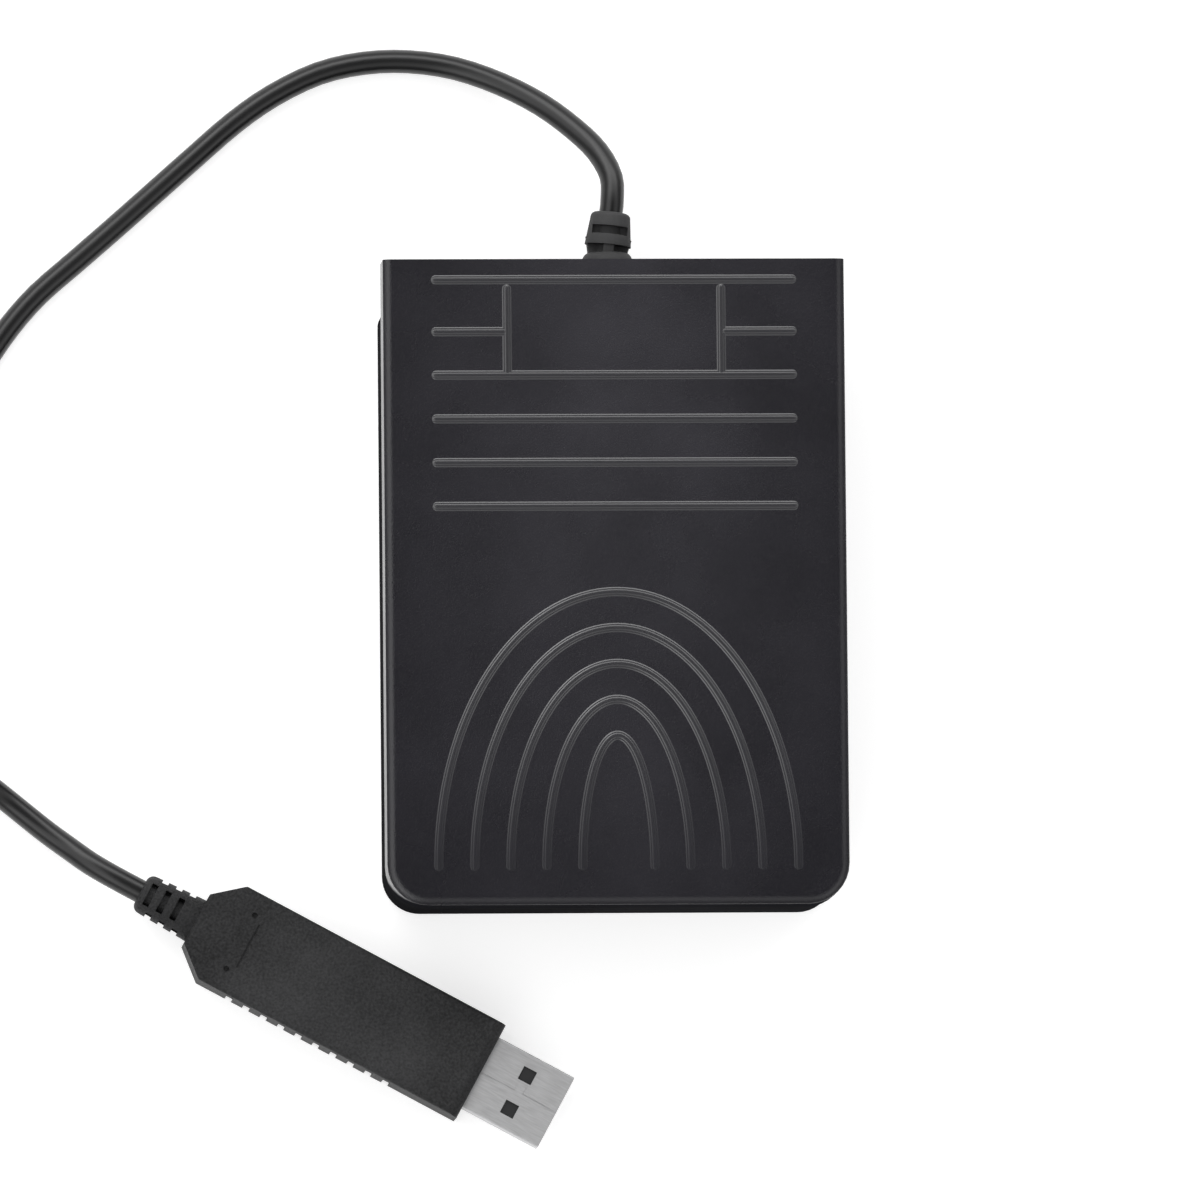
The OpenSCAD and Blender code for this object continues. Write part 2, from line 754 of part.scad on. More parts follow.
module switch_case() {
    boss_d = screw_d + 2 * hole_gap + 2 * hole_wall;
    inner_x = case_w - 2 * case_t;
    color([0.1, 0.1, 0.11])
        difference() {
            union() {
                difference() {
                    translate([-case_w / 2 + case_t, case_toe, case_low])
                        cube([case_w - case_t, case_l, case_h]);
                    translate([-case_w / 2, case_toe + case_t, case_low + case_t])
                        cube([inner_x + case_t, case_l - 2 * case_t, case_h - 2 * case_t]);
                }
                translate([-case_w / 2, case_toe, case_high - case_t]) cube([case_w, case_l, case_t]);
                intersection() {
                    case_holes(boss_d);
                    translate([-case_w / 2 + case_t, case_toe, case_low])
                        cube([case_w - case_t, case_l, case_h]);
                }
                for (s = [-1, 1])
                    translate([s * (case_w - ear_t) / 2, pivot_y, case_high + (ear_h - case_t / 2) / 2])
                        cube([ear_t, ear_l, ear_h + case_t / 2], center = true);
            }
            case_holes(screw_d + 2 * hole_gap);
            translate([0, pivot_y, pivot_z]) across(pivot_d + 2 * run_gap, 2 * case_w);
            translate([-plunger_x / 2, plunger_y - plunger_l / 2, case_high - 2 * case_t])
                translate([-plunger_space, -plunger_space, 0])
                    cube([plunger_x + 2 * plunger_space, plunger_l + 2 * plunger_space, 4 * case_t]);
            for (y = terminal_y)
                translate([-terminal_w / 2 - fit_gap, y - terminal_t / 2 - fit_gap, case_low - case_t])
                    cube([terminal_w + 2 * fit_gap, terminal_t + 2 * fit_gap, 3 * case_t]);
        }
}

module switch_lid() {
    color([0.18, 0.18, 0.2])
        difference() {
            translate([-case_w / 2, case_toe, case_low]) cube([case_t, case_l, case_h - case_t]);
            case_holes(screw_d + 2 * hole_gap);
        }
}

module switch_plunger() {
    color([0.75, 0.15, 0.12]) {
        translate([-plunger_x / 2, plunger_y - plunger_l / 2, plunger_low])
            cube([plunger_x, plunger_l, plunger_z - plunger_low]);
        translate([-plunger_x / 2, plunger_y - plunger_l, plunger_low])
            cube([plunger_x, 2 * plunger_l, plunger_foot]);
    }
}

module switch_lever() {
    color(steel)
        translate([0, pivot_y, pivot_z])
            rotate([-lever_tilt, 0, 0]) {
                translate([-lever_w / 2, -lever_arm - lever_past, -lever_t / 2])
                    cube([lever_w, lever_arm + lever_past, lever_t]);
                across(pivot_d, case_w);
            }
}

module switch_blade() {
    blade_toe = case_toe + case_t + blade_space;
    color([0.8, 0.6, 0.25])
        translate([-terminal_w / 2, blade_toe, blade_z - blade_t])
            cube([terminal_w, terminal_y[0] + terminal_t / 2 - blade_toe, blade_t]);
}

module switch_terminals() {
    common_in = blade_z - blade_t - case_low;
    color([0.8, 0.7, 0.4])
        for (i = [0 : len(terminal_y) - 1])
            translate([-terminal_w / 2, terminal_y[i] - terminal_t / 2, case_low - terminal_l])
                cube([terminal_w, terminal_t, terminal_l + (i == 0 ? common_in : terminal_in)]);
}

module screw(length) {
    cylinder(d = screw_d, h = length);
    translate([0, 0, length])
        difference() {
            cylinder(d = screw_head_d, h = screw_head_h);
            for (a = [0, 90])
                rotate([0, 0, a])
                    translate([-screw_head_d / 3, -screw_cross_w / 2, screw_head_h / 2])
                        cube([2 * screw_head_d / 3, screw_cross_w, screw_head_h]);
        }
}

module switch_screws() {
    reach = bracket_t - screw_short;
    color(steel)
        for (s = [-1, 1])
            translate([case_w / 2 + reach, hole_mid + s * hole_pitch / 2, case_low + hole_rise])
                rotate([0, -90, 0]) screw(case_w + reach);
}

module switch_wires() {
    solder_z = case_low - terminal_l + terminal_t;
    common_y = terminal_y[0] + terminal_t / 2;
    closing_y = terminal_y[1] + terminal_t / 2;
    drop = exit_z - solder_z;
    run = tail_end - common_y;
    common = [
        [-wire_x, tail_end, exit_z],
        [-wire_x, tail_end - wire_lead, exit_z],
        [-wire_x, tail_end - run / 3, exit_z - drop / 5],
        [-wire_x / 2, tail_end - run / 2, exit_z - drop / 2],
        [0, common_y + 2 * wire_lead, solder_z + drop / 10],
        [0, common_y + wire_lead, solder_z],
        [0, common_y, solder_z]
    ];
    closing = [
        [wire_x, tail_end, exit_z],
        [wire_x, tail_end - wire_lead, exit_z],
        [2 * wire_x, tail_end - run / 3, exit_z - drop / 4],
        [wire_side, tail_end - run / 2, exit_z - drop / 2],
        [wire_side, common_y + wire_lead, solder_z],
        [wire_side, common_y - 2 * wire_lead, solder_z],
        [wire_side / 2, closing_y + 2 * wire_lead, solder_z],
        [0, closing_y + wire_lead, solder_z],
        [0, closing_y, solder_z]
    ];
    color([0.7, 0.1, 0.1]) tube(common, lead_d / 2, 8);
    color([0.1, 0.1, 0.1]) tube(closing, lead_d / 2, 8);
}

module cable_tail() {
    color(cord_black)
        translate([0, tail_start, exit_z]) rotate([90, 0, 0]) cylinder(d = cord_d, h = tail_start - tail_end);
}

module cable_clamp() {
    color(dark_plastic)
        difference() {
            translate([-clamp_w / 2, clamp_y - clamp_l / 2, exit_z + clamp_gap / 2])
                cube([clamp_w, clamp_l, clamp_h]);
            translate([0, clamp_y, exit_z])
                rotate([90, 0, 0]) cylinder(d = cord_d + 2 * fit_gap, h = 2 * clamp_l, center = true);
            for (s = [-1, 1])
                translate([s * clamp_x, clamp_y, exit_z])
                    cylinder(d = screw_d + 2 * hole_gap, h = 2 * clamp_h);
        }
}

module clamp_screws() {
    top = exit_z + clamp_gap / 2 + clamp_h;
    color(steel)
        for (s = [-1, 1])
            translate([s * clamp_x, clamp_y, top - screw_l]) screw(screw_l);
}

// Round foot that narrows in a dome
module relief_foot() {
    rotate_extrude()
        polygon(concat(
            [[0, fit_gap], [relief_d / 2, fit_gap]],
            [
                for (a = [0 : 15 : 90])
                    [
                        relief_waist_d / 2 + (relief_d - relief_waist_d) / 2 * cos(a),
                        relief_rim_l + (relief_foot_l - relief_rim_l) * sin(a)
                    ]
            ],
            [[0, relief_foot_l]]
        ));
}

// Flat web at mid height, from side to side
module relief_web() {
    translate([-relief_mid_d, -relief_web_t / 2, -relief_rim_l])
        cube([2 * relief_mid_d, relief_web_t, relief_past]);
}

// Tapered body with a round shoulder. Its window is cut from above and from below, down to the web
module relief_body() {
    difference() {
        rotate_extrude()
            polygon(concat(
                [[0, relief_slot_l], [relief_mid_d / 2, relief_slot_l]],
                [
                    for (a = [0 : 15 : 90])
                        [
                            relief_tip_d / 2 - relief_round + relief_round * cos(a),
                            relief_past - relief_round + relief_round * sin(a)
                        ]
                ],
                [[0, relief_past]]
            ));
        difference() {
            translate([-relief_window_w / 2, -relief_mid_d, relief_window_start])
                cube([relief_window_w, 2 * relief_mid_d, relief_window_l]);
            relief_web();
        }
    }
}

module strain_relief() {
    color(rubber_black)
        translate([0, box_rear, exit_z])
            rotate([-90, 0, 0]) {
                translate([0, 0, tail_start - box_rear])
                    cylinder(d = relief_d, h = box_rear - tail_start - wall_t - fit_gap);
                translate([0, 0, tail_start - box_rear])
                    cylinder(d = relief_neck_d, h = box_rear - tail_start + 2 * fit_gap);
                relief_foot();
                translate([0, 0, relief_foot_l])
                    rotate([0, relief_lean, 0]) {
                        relief_body();
                        translate([0, 0, -relief_rim_l]) cylinder(d = relief_core_d, h = relief_past);
                        intersection() {
                            translate([0, 0, -relief_rim_l])
                                cylinder(
                                    d1 = relief_waist_d, d2 = relief_mid_d,
                                    h = relief_rim_l + 2 * relief_slot_l
                                );
                            union() {
                                translate([-relief_rib_w / 2, -relief_mid_d, -relief_rim_l])
                                    cube([relief_rib_w, 2 * relief_mid_d, relief_rim_l + 1.5 * relief_slot_l]);
                                relief_web();
                            }
                        }
                    }
            }
}

module cable_near() {
    color(cord_black) tube(near_route, cord_r, 8);
}

module cable_coil() {
    color(cord_black) tube(coil_route, cord_r, 6);
}

module cable_far() {
    color(cord_black) tube(far_route, cord_r, 8);
}

// Flat strap round the bundle, on the side away from the pedal
module coil_tie() {
    slack = 0.2;
    inner_strand = coil_out - coil_pitch * (layer_turns - 0.5);
    outer_strand = coil_out - coil_pitch / 2;
    inner = sqrt(inner_strand * inner_strand - tie_w * tie_w / 4) - cord_r - slack;
    outer = outer_strand + cord_r + slack;
    top = coil_top + cord_r + slack;
    color(rubber_black)
        translate([coil_x, coil_y + tie_w / 2, 0])
            rotate([90, 0, 0])
                linear_extrude(tie_w)
                    difference() {
                        translate([-outer - tie_t, 0]) square([outer - inner + 2 * tie_t, top + tie_t]);
                        translate([-outer, tie_t]) square([outer - inner, top - tie_t]);
                    }
}

// Puts what is drawn along +X, from the boot's end to the mouth, where the plug lies
module in_plug() {
    translate(plug_at) rotate([0, 0, plug_turn]) children();
}

// Tapered boot with a round end. Windows open it from above and below, and between them from the sides
module plug_boot() {
    color(dark_plastic)
        in_plug()
            translate([0, 0, plug_mid])
                rotate([0, 90, 0]) {
                    difference() {
                        rotate_extrude()
                            polygon(concat(
                                [[0, boot_l], [0, 0]],
                                [
                                    for (a = [-90 : 15 : 0])
                                        [
                                            boot_tip_d / 2 - boot_round + boot_round * cos(a),
                                            boot_round + boot_round * sin(a)
                                        ]
                                ],
                                [[boot_d / 2, boot_l]]
                            ));
                        for (i = [0 : boot_slots - 1])
                            for (turn = [0, 90])
                                translate([0, 0, boot_slot_start + (i + turn / 180) * boot_slot_pitch])
                                    rotate([0, 0, turn])
                                        translate([-boot_d, -boot_window_w / 2, 0])
                                            cube([2 * boot_d, boot_window_w, boot_slot_l]);
                    }
                    translate([0, 0, boot_slot_start / 2])
                        cylinder(d = boot_core_d, h = boot_l - boot_slot_start / 2);
                    translate([0, 0, boot_l - boot_slot_start])
                        cylinder(d = boot_neck_d, h = boot_neck_l + boot_slot_start);
                }
}

module plug_housing() {
    color(dark_plastic)
        in_plug()
            difference() {
                intersection() {
                    linear_extrude(plug_h)
                        polygon([
                            [boot_l, -body_rear_w / 2],
                            [boot_l + body_taper, -plug_w / 2],
                            [body_end, -plug_w / 2],
                            [body_end, plug_w / 2],
                            [boot_l + body_taper, plug_w / 2],
                            [boot_l, body_rear_w / 2]
                        ]);
                    translate([0, plug_w, 0])
                        rotate([90, 0, 0])
                            linear_extrude(2 * plug_w)
                                polygon([
                                    [0, 0],
                                    [body_end, 0],
                                    [body_end, plug_h - front_cut],
                                    [body_end - front_cut, plug_h],
                                    [0, plug_h]
                                ]);
                }
                for (s = [-1, 1])
                    translate([dimple_start, s * dimple_v, plug_h - dimple_deep])
                        cylinder(d = dimple_d, h = dimple_deep + cut, $fn = 24);
                translate([line_start - line_w / 2, -dimple_v + dimple_d, plug_h - line_deep])
                    cube([line_w, 2 * (dimple_v - dimple_d), line_deep + cut]);
                translate([0, 0, plug_mid])
                    rotate([0, 90, 0])
                        translate([0, 0, boot_l - cut])
                            cylinder(d = boot_neck_d + 2 * fit_gap, h = cut + boot_neck_l + neck_space + lap);
                translate([cavity_rear, -board_w / 2 + board_edge, body_wall])
                    cube([board_front - cavity_rear + lap, board_w - 2 * board_edge, plug_h - 2 * body_wall]);
                translate([board_front - board_l / 2, 0, board_top - board_t / 2])
                    cube([board_l + 2 * fit_gap, board_w + 2 * fit_gap, board_t + 2 * fit_gap], center = true);
                translate([board_front - lap, -shell_w / 2 - fit_gap, shell_low - fit_gap])
                    cube([shell_in + 2 * cut, shell_w + 2 * fit_gap, shell_h + 2 * fit_gap]);
                for (s = [-1, 1])
                    for (i = [0 : groove_count - 1])
                        translate([groove_start + i * groove_pitch, s * plug_w / 2, (plug_h - groove_top - cut) / 2])
                            cube([groove_w, 2 * groove_deep, plug_h - groove_top + cut], center = true);
            }
}

// Seam along the shell's top, with a square lock half way
module shell_seam() {
    lock = mouth - square_hole_back;
    difference() {
        union() {
            translate([body_end, -seam_w / 2]) square([shell_l + cut, seam_w]);
            translate([lock - seam_lock / 2, -seam_w / 2]) square([seam_lock, seam_lock]);
        }
        translate([lock - seam_lock / 2 + seam_w, -seam_w])
            square([seam_lock - 2 * seam_w, seam_lock + seam_w / 2]);
    }
}

module usb_shell() {
    back = body_end - shell_in;
    color(steel)
        in_plug()
            difference() {
                translate([back, -shell_w / 2, shell_low]) cube([shell_in + shell_l, shell_w, shell_h]);
                translate([back - cut, -shell_w / 2 + shell_t, shell_low + shell_t])
                    cube([shell_in + shell_l + 2 * cut, shell_w - 2 * shell_t, shell_h - 2 * shell_t]);
                for (v = [-square_hole_v, square_hole_v])
                    for (z = [shell_low, shell_low + shell_h])
                        translate([mouth - square_hole_back, v, z])
                            cube([square_hole, square_hole, 2 * (shell_t + lap)], center = true);
                translate([0, 0, shell_low + shell_h - seam_deep])
                    linear_extrude(seam_deep + cut) shell_seam();
            }
}

module usb_insulator() {
    back = body_end - shell_in;
    inner_w = shell_w - 2 * shell_t - 2 * fit_gap;
    color([0.85, 0.85, 0.85])
        in_plug()
            difference() {
                union() {
                    translate([back, -inner_w / 2, tongue_low])
                        cube([shell_in + shell_l - tongue_back, inner_w, tongue_t]);
                    translate([back, -inner_w / 2, shell_low + shell_t + fit_gap])
                        cube([block_l, inner_w, shell_h - 2 * shell_t - 2 * fit_gap]);
                }
                for (v = contact_v)
                    translate([back - cut, v - contact_w / 2 - fit_gap, tongue_low - contact_t - fit_gap])
                        cube([block_l + 2 * cut, contact_w + 2 * fit_gap, contact_t + fit_gap]);
            }
}

module usb_contacts() {
    color([0.85, 0.7, 0.35])
        in_plug()
            for (v = contact_v)
                translate([board_front - contact_tail, v - contact_w / 2, tongue_low - contact_t])
                    cube([mouth - contact_back - board_front + contact_tail, contact_w, contact_t]);
}

module controller_board() {
    color([0.1, 0.35, 0.2])
        in_plug()
            translate([board_front - board_l, -board_w / 2, board_top - board_t])
                cube([board_l, board_w, board_t]);
}

module controller_chip() {
    chip_l = 7.2;
    chip_w = 5.3;
    chip_h = 1.7;
    chip_back = 2;
    leg_pitch = 0.8;
    leg_w = 0.3;
    leg_out = 1;
    color([0.08, 0.08, 0.08])
        in_plug()
            translate([board_front - board_l / 2 - chip_back, 0, board_top]) {
                translate([-chip_l / 2, -chip_w / 2, 0]) cube([chip_l, chip_w, chip_h]);
                for (i = [-4 : 4])
                    translate([i * leg_pitch - leg_w / 2, -chip_w / 2 - leg_out, 0])
                        cube([leg_w, chip_w + 2 * leg_out, leg_w]);
            }
}

// Crystal with a capacitor on each side, and a resistor behind the chip
module board_parts() {
    crystal = [2.5, 3.2, 0.9];
    capacitor = [2, 1.2, 0.8];
    resistor = [2, 1.2, 0.6];
    crystal_u = 7.2;
    capacitor_v = 3;
    resistor_u = -12;
    resistor_v = -1.6;
    color([0.7, 0.65, 0.5])
        in_plug()
            translate([board_front - board_l / 2, 0, board_top]) {
                translate([crystal_u, 0, crystal[2] / 2]) cube(crystal, center = true);
                for (s = [-1, 1])
                    translate([crystal_u, s * capacitor_v, capacitor[2] / 2]) cube(capacitor, center = true);
                translate([resistor_u, resistor_v, resistor[2] / 2]) cube(resistor, center = true);
            }
}

module plug_leads() {
    color([0.7, 0.1, 0.1])
        in_plug()
            for (s = [-1, 1])
                translate([boot_l + boot_neck_l, s * lead_v, board_top + lead_d / 2])
                    rotate([0, 90, 0])
                        cylinder(d = lead_d, h = board_front - board_l + lead_over - boot_l - boot_neck_l);
}

pedal_cover();
base_tray();
hinge_pins();
return_spring();
rubber_feet();
stop_bumpers();
switch_case();
switch_lid();
switch_plunger();
switch_lever();
switch_blade();
switch_terminals();
switch_screws();
switch_wires();
cable_tail();
cable_clamp();
clamp_screws();
strain_relief();
cable_near();
cable_coil();
coil_tie();
cable_far();
plug_boot();
plug_housing();
usb_shell();
usb_insulator();
usb_contacts();
controller_board();
controller_chip();
board_parts();
plug_leads();
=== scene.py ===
"""Foot pedal switch, seen from above on a white table, with its cord and plug."""
import math

import bmesh
import bpy
from mathutils import Matrix, Vector


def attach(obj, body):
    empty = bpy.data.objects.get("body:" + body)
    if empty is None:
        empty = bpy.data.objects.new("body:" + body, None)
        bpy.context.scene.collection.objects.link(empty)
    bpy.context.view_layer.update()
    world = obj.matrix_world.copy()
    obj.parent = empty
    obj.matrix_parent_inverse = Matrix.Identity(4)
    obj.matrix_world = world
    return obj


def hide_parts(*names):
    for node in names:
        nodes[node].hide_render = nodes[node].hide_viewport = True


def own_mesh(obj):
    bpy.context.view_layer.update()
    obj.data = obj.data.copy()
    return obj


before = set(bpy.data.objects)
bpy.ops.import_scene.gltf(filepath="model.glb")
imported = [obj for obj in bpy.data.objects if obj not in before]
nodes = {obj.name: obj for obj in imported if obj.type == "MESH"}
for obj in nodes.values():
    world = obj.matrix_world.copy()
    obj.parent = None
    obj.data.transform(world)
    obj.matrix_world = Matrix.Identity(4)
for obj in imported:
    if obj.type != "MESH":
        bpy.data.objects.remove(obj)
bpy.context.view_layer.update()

# The sizes are in millimetres, as those of the solids are, and the scene is in metres
MM = 0.001

# Corners of a mesh that are closer than this are one corner
WELD = 0.002
# On the tread, edges shorter than this are dropped, and corners closer than this to a cut are on it
FINE = 0.001
# Neighbouring faces that turn by less than this are one flat face
FLAT_TURN = math.radians(0.6)
# Edges that turn by more than this are crisp, with limits of their own for the ribs and the return spring
SHARP_TURN = math.radians(28)
RIB_SHARP_TURN = math.radians(17)
SPRING_SHARP_TURN = math.radians(80)
# Steps across a rounded edge, and its profile, which is round
ROUND_STEPS = 3
ROUND_PROFILE = 0.5

# Tread
HALF_W = 35
TOE_Y = -49
TOE_R = 6.2
TREAD_Z = 27.4
SKIRT_Z = 20
# Where the rounded band along its edge meets the skirt, the room either side of that height in which an
# edge counts as that corner, how far the corner is broken, and in how many steps
BAND_Z = 26.806
BAND_ROOM = 0.02
BAND_BREAK = 0.05
BAND_STEPS = 2
# Faces of the toe skirt: their normals point up by less than the first, and to the toe end by more than
# the second
TOE_FACE_UP = 0.2
TOE_FACE_Y = -0.05
# How far the cuts round the toe corners run to the toe end, for each step to the side
TOE_CUT_RUN = 0.4

# Ribs of the tread: the places are on the middle of each rib
RIB_W = 1.4
RIB_H = 0.17
RIB_SINK = 0.15
# Cross-section of a rib: shares of its half width and of its height, from one edge to the crest
RIB_SLOPE = ((1, 0), (0.77, 0.45), (0.52, 0.49), (0.3, 0.97), (0.24, 1), (0, 1))
# Steps of a rib's round end, and the share of the width that is left at its tip
RIB_END_STEPS = 6
RIB_TIP_SHARE = 0.02
RIB_REACH = 27.05
RIB_TOP = 45.85
RIB_LOW = 31.35
RIB_PITCH = 6.65
RIB_ROWS = 4
WINDOW_REACH = 16.25
SIDE_RIB_RISE = 6.6
ARCH_Y = -43.2
ARCH_REACH = 5.45
ARCH_RISE = 19.8
ARCH_STEP = 5.45
ARCH_COUNT = 5
ARCH_SIDES = 64

# Base: its edges are rounded if they are this long, as far as there is room
BASE_EDGE_L = 6

# Cord
CORD_D = 3.6
CORD_ROUNDNESS = 5
ROUTE_STEPS = 3
LIE_Z = CORD_D / 2
EXIT_Z = 12.5
BOX_REAR = 48.4
RELIEF_FOOT_L = 3
RELIEF_PAST = 6.2
RELIEF_LEAN = math.radians(6)
COIL_X = -136
COIL_Y = -5
COIL_Z = 2.5
COIL_R = 21.4
COIL_PITCH = 4.15
LAYER_TURNS = 3
COIL_LAYERS = 4
COIL_STEPS = 24

# Plug, placed by the end of its boot
PLUG_AT = Vector((-71.4, -45.1, 4.75))
PLUG_TURN = math.radians(-28.5)
PLUG_H = 9.5
# Edges of its housing and shell are rounded if they are this long, on the housing only this near its top
PLUG_EDGE_L = 15
PLUG_EDGE_DOWN = 1.5

# Camera: it looks down on the tread, a little from the left and from the toe end
CAMERA_D = 3000
TILT_LEFT = math.radians(3.7)
TILT_TOE = math.radians(5)
ROLL = math.radians(-0.52)
PX_PER_MM = 6.612
PHOTO_PX = 1200
MIDDLE_PX = Vector((616.4, 581))
SENSOR_MM = 36
CLIP_END_M = 20

# Moulded plastic: the scale of its slow noise in each metre, the detail of its two noises, the share of
# the fine one in its colour, and how far its roughness goes up and down
SLOW_SCALE = 60
SLOW_DETAIL = 4
GRAIN_DETAIL = 3
GRAIN_SHARE = 0.45
GLOSS_SPREAD = 0.06
# Metal: the detail of its streaks, how long they are for their width, and how far its roughness goes up
# and down, as a share of it
STREAK_DETAIL = 2
STREAK_STRETCH = 10
METAL_SPREAD = 0.1
# The values of a noise between which a colour goes from its darker to its lighter tone
TONE_RANGE = (0.3, 0.7)
# Painted sheen on the tread, a lighter patch standing in for reflected light: the middle of the patch, and
# how far it reaches to the sides and along
SHEEN_Y = 28
SHEEN_X_REACH = 41
SHEEN_Y_REACH = 90
# The values of the slow noise between which the painted sheen goes from its least share to all of it
SHEEN_RANGE = (0.25, 0.75)
SHEEN_LEAST = 0.55
# Clear gloss of the ribs and of the toe skirt
COAT_ROUGHNESS = 0.28
RIB_COAT_IOR = 1.75
TOE_COAT_IOR = 1.6
# The gloss of the ribs fades between these two places towards the toe end, to this share of it, as painted
# shade for the light that falls off there
RIB_SHADE_START = -20
RIB_SHADE_END = -42
RIB_SHADE_SHARE = 0.2
# How far past the cuts round the toe corners the gloss of the side skirts reaches on the toe skirt, whose
# matt copy of the plastic is painted shade
TOE_FADE = 2.6

# Studio light: what comes from all sides, and lobes of it. Each has the axis of the direction, the
# values on that axis at which it starts and is full, and its strength
LIGHT_LEVEL = 0.14
LIGHT_LOBES = (
    ("X", -0.14, -0.36, 1.4),
    ("X", 0.2, 0.55, 0.75),
    ("Y", -0.12, -0.5, 0.6),
    ("Y", 0.33, 0.76, 3.5),
)
# The lobes fade towards the horizon between these two heights, to this share of them
FADE_START = 0.6
FADE_END = 0.45
FADE_SHARE = 0.18
WHITE = (1, 1, 1, 1)

# Table: half its width in metres, its looks, and how far it lies below the part
FLOOR_HALF = 3
FLOOR_COLOUR = 0.7
FLOOR_ROUGHNESS = 0.9
FLOOR_GLOW = 0.6
FLOOR_DROP = 0.02


def make_camera():
    """Camera with the photograph's angle and framing."""
    middle = Vector((0, 0, TREAD_Z))
    back = Vector((-math.tan(TILT_LEFT), -math.tan(TILT_TOE), 1)).normalized()
    right = Vector((0, 1, 0)).cross(back).normalized()
    right = Matrix.Rotation(ROLL, 3, back) @ right
    up = back.cross(right)
    aside = (PHOTO_PX / 2 - MIDDLE_PX.x) / PX_PER_MM
    above = (MIDDLE_PX.y - PHOTO_PX / 2) / PX_PER_MM
    eye = middle + back * CAMERA_D + right * aside + up * above
    data = bpy.data.cameras.new("camera")
    data.sensor_width = SENSOR_MM
    data.lens = PX_PER_MM * CAMERA_D / PHOTO_PX * SENSOR_MM
    data.clip_end = CLIP_END_M
    camera = bpy.data.objects.new("camera", data)
    turn = Matrix((right, up, back)).transposed()
    camera.matrix_world = Matrix.Translation(eye * MM) @ turn.to_4x4()
    bpy.context.collection.objects.link(camera)
    bpy.context.scene.camera = camera


def smooth_route(points, steps):
    """Points on a smooth curve through the given points."""
    out = []
    last = len(points) - 1
    for i in range(last):
        before = points[max(i - 1, 0)]
        here = points[i]
        there = points[i + 1]
        after = points[min(i + 2, last)]
        for k in range(steps):
            t = k / steps
            out.append(0.5 * (
                2 * here
                + (there - before) * t
                + (2 * before - 5 * here + 4 * there - after) * t ** 2
                + (3 * here - before - 3 * there + after) * t ** 3
            ))
    return out + [points[last]]


def coil_point(turns):
    """Place on the coil's centreline after that many turns. Half a turn leads from a layer to the next."""
    leg = turns % (2 * LAYER_TURNS)
    inward = leg if leg < LAYER_TURNS else 2 * LAYER_TURNS - leg
    radius = COIL_R + COIL_PITCH * (LAYER_TURNS / 2 - inward)
    layer = sum(
        max(0, min(1, 0.5 + 2 * (turns - n * LAYER_TURNS)))
        for n in range(1, COIL_LAYERS)
    )
    angle = -2 * math.pi * turns
    return Vector((
        COIL_X + radius * math.cos(angle),
        COIL_Y + radius * math.sin(angle),
        COIL_Z + COIL_PITCH * layer,
    ))


def plug_place(along):
    """Place on the plug's axis, that far from its boot's end towards its mouth."""
    return PLUG_AT + along * Vector((math.cos(PLUG_TURN), math.sin(PLUG_TURN), 0))


def cord_route():
    """Centreline of the cord from the strain relief through the coil to the plug."""
    lean = Vector((math.sin(RELIEF_LEAN), math.cos(RELIEF_LEAN), 0))
    tip = Vector((0, BOX_REAR + RELIEF_FOOT_L, EXIT_Z)) + RELIEF_PAST * lean
    side = COIL_X + COIL_R + COIL_PITCH * LAYER_TURNS / 2
    top = COIL_Z + COIL_PITCH * (COIL_LAYERS - 1)
    near = [tip, tip + 2 * lean] + [Vector(p) for p in (
        (0.8, 63.2, 11.6),
        (-1.1, 67.2, 9.8),
        (-4.5, 70.9, 8),
        (-9.4, 74.9, 5.8),
        (-15.4, 78.3, 3.8),
        (-22.3, 80.9, 2.4),
        (-29.3, 82, 1.9),
        (-36.3, 81.8, LIE_Z),
        (-43.3, 80.2, LIE_Z),
        (-50.3, 76.8, LIE_Z),
        (-56.3, 72.6, LIE_Z),
        (-62.3, 67.4, LIE_Z),
        (-68.3, 62.1, LIE_Z),
        (-74.3, 56.8, LIE_Z),
        (-80.3, 51.6, LIE_Z),
        (-86.3, 46.4, LIE_Z),
        (-90.8, 41.3, LIE_Z),
        (-95, 35.2, LIE_Z),
        (-99.4, 28, LIE_Z),
        (-103, 20, 1.9),
        (-105.8, 12, 2.1),
        (-107.6, 4, 2.3),
        (side, COIL_Y + 2.5 * CORD_D, COIL_Z),
        (side, COIL_Y + CORD_D, COIL_Z),
    )]
    turns = LAYER_TURNS * COIL_LAYERS
    coil = [coil_point(i / COIL_STEPS) for i in range(COIL_STEPS * turns + 1)]
    far = [Vector(p) for p in (
        (side, COIL_Y - CORD_D, top),
        (side, COIL_Y - 2.5 * CORD_D, top),
        (-106.3, -19.3, 12.2),
        (-103, -22.9, 9),
        (-99.2, -25.6, 6),
        (-95.4, -28, 3.4),
        (-91.8, -30.7, 2),
        (-88.6, -33.3, LIE_Z),
        (-85.4, -35.9, 2.1),
        (-82.1, -38.4, 2.9),
        (-78.9, -40.8, 4.1),
    )] + [plug_place(-1.25 * CORD_D), plug_place(0)]
    return smooth_route(near + coil + far, ROUTE_STEPS)


def make_cord(material):
    """Cord as one curve, in place of its three solids."""
    route = cord_route()
    data = bpy.data.curves.new("cord", "CURVE")
    data.dimensions = "3D"
    data.bevel_depth = CORD_D / 2 * MM
    data.bevel_resolution = CORD_ROUNDNESS
    data.use_fill_caps = True
    spline = data.splines.new("POLY")
    spline.points.add(len(route) - 1)
    for point, place in zip(spline.points, route):
        point.co = (*(place * MM), 1)
    spline.use_smooth = True
    data.materials.append(material)
    cord = bpy.data.objects.new("cord", data)
    bpy.context.collection.objects.link(cord)
    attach(cord, "base")
    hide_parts("cable_near", "cable_coil", "cable_far")
    length = sum((b - a).length for a, b in zip(route, route[1:]))
    return cord, route[0] * MM, length * MM


